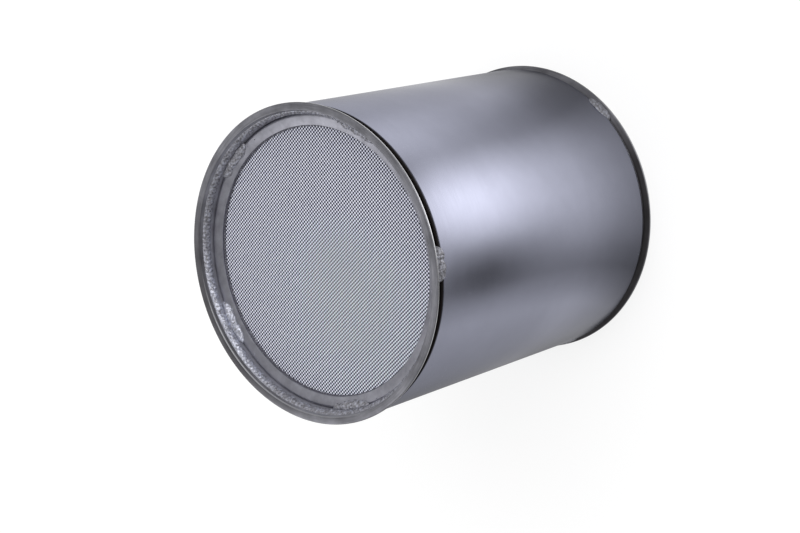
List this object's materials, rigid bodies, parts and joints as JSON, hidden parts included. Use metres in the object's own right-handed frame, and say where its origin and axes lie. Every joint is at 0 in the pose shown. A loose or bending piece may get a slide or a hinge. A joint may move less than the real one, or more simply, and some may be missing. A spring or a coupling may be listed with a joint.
{
  "type": "diesel particulate filter",
  "caption": "Round stainless canister with a clamp flange at each end and a ceramic honeycomb filter block inside, which traps soot from diesel exhaust.",
  "frame": {"origin": "centre of the outlet flange's gasket face, which the part stands on", "axes": "+Z along the can's axis from outlet to inlet, +X along the block's rows of channels"},
  "size_m": [0.297, 0.297, 0.345],
  "materials": {
    "cordierite": "extruded honeycomb, matt",
    "fibre_mat": "pressed ceramic fibre",
    "glass_wool": "needled glass fibre",
    "can_steel": "mill finish",
    "polished_steel": "satin polished",
    "turned_steel": "rolled and turned",
    "pressed_steel": "pressed sheet",
    "wire_steel": "knitted wire",
    "weld_steel": "as welded"
  },
  "bodies": {
    "root": {"filter_block": "cordierite", "mounting_mat": "fibre_mat", "inner_can": "can_steel", "insulation_blanket": "glass_wool", "outer_jacket": "polished_steel", "inlet_flange": "turned_steel", "inlet_flange_weld": "weld_steel", "inlet_retaining_ring": "pressed_steel", "inlet_mesh_seal": "wire_steel", "inlet_ring_tack_1": "weld_steel", "inlet_ring_tack_2": "weld_steel", "inlet_ring_tack_3": "weld_steel", "inlet_ring_tack_4": "weld_steel", "inlet_ring_tack_5": "weld_steel", "inlet_jacket_stitch_1": "weld_steel", "inlet_jacket_stitch_2": "weld_steel", "inlet_jacket_stitch_3": "weld_steel", "outlet_flange": "turned_steel", "outlet_flange_weld": "weld_steel", "outlet_retaining_ring": "pressed_steel", "outlet_mesh_seal": "wire_steel", "outlet_ring_tack_1": "weld_steel", "outlet_ring_tack_2": "weld_steel", "outlet_ring_tack_3": "weld_steel", "outlet_ring_tack_4": "weld_steel", "outlet_ring_tack_5": "weld_steel", "outlet_jacket_stitch_1": "weld_steel", "outlet_jacket_stitch_2": "weld_steel", "outlet_jacket_stitch_3": "weld_steel"}
  },
  "joints": []
}
